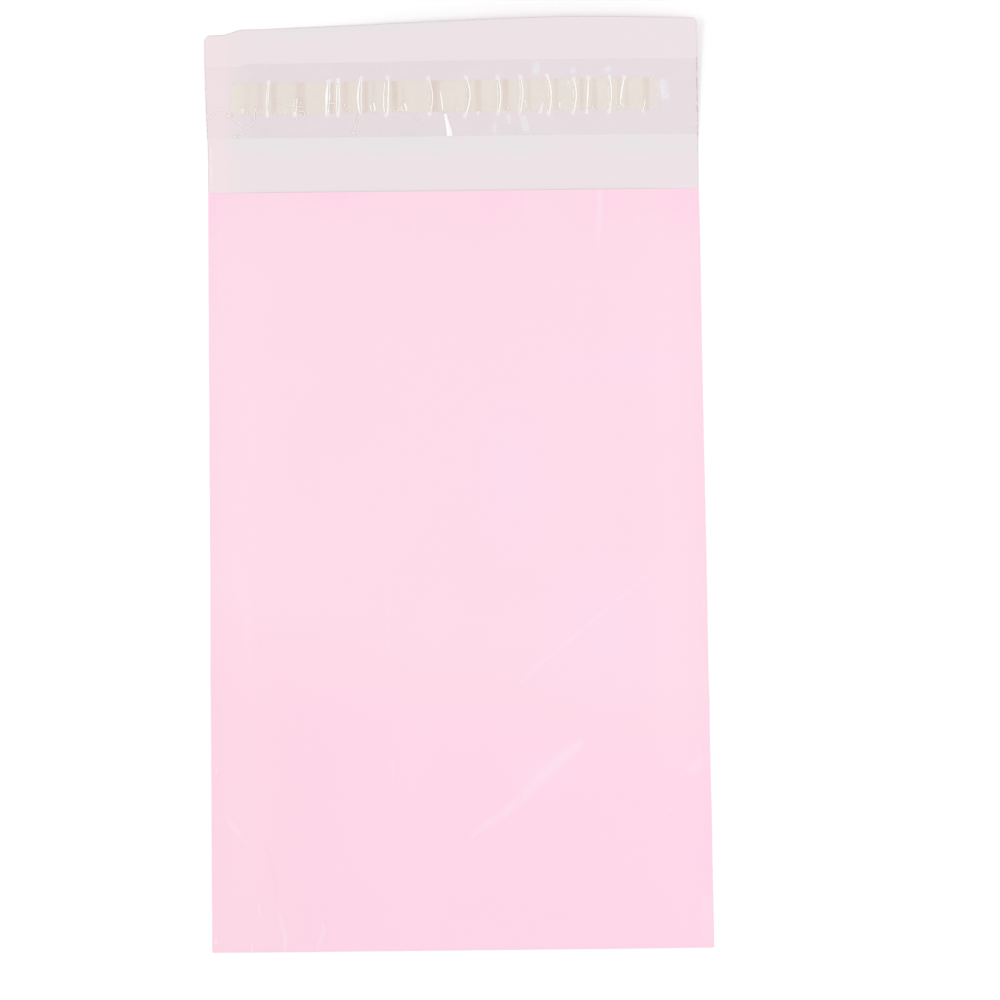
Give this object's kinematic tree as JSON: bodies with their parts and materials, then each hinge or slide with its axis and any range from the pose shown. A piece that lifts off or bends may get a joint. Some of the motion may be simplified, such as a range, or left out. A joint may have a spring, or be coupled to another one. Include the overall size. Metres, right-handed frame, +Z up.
{
  "type": "poly mailer bag",
  "caption": "Flat, empty plastic mailing bag with fused sides, a folded bottom, an open mouth and a lip that carries a strip of glue under a clear puckered liner.",
  "frame": {"origin": "on the surface that the bag lies on, under the middle of its outline", "axes": "+X across the bag, +Y along the bag from the folded bottom to the lip, +Z up out of the front panel"},
  "size_m": [0.15, 0.283, 0.0041],
  "materials": {
    "pink_film": "satin",
    "cream_glue": "satin",
    "clear_film": "gloss"
  },
  "bodies": {
    "root": {"mailer_film": "pink_film", "adhesive_strip": "cream_glue", "release_liner": "clear_film"}
  },
  "joints": []
}
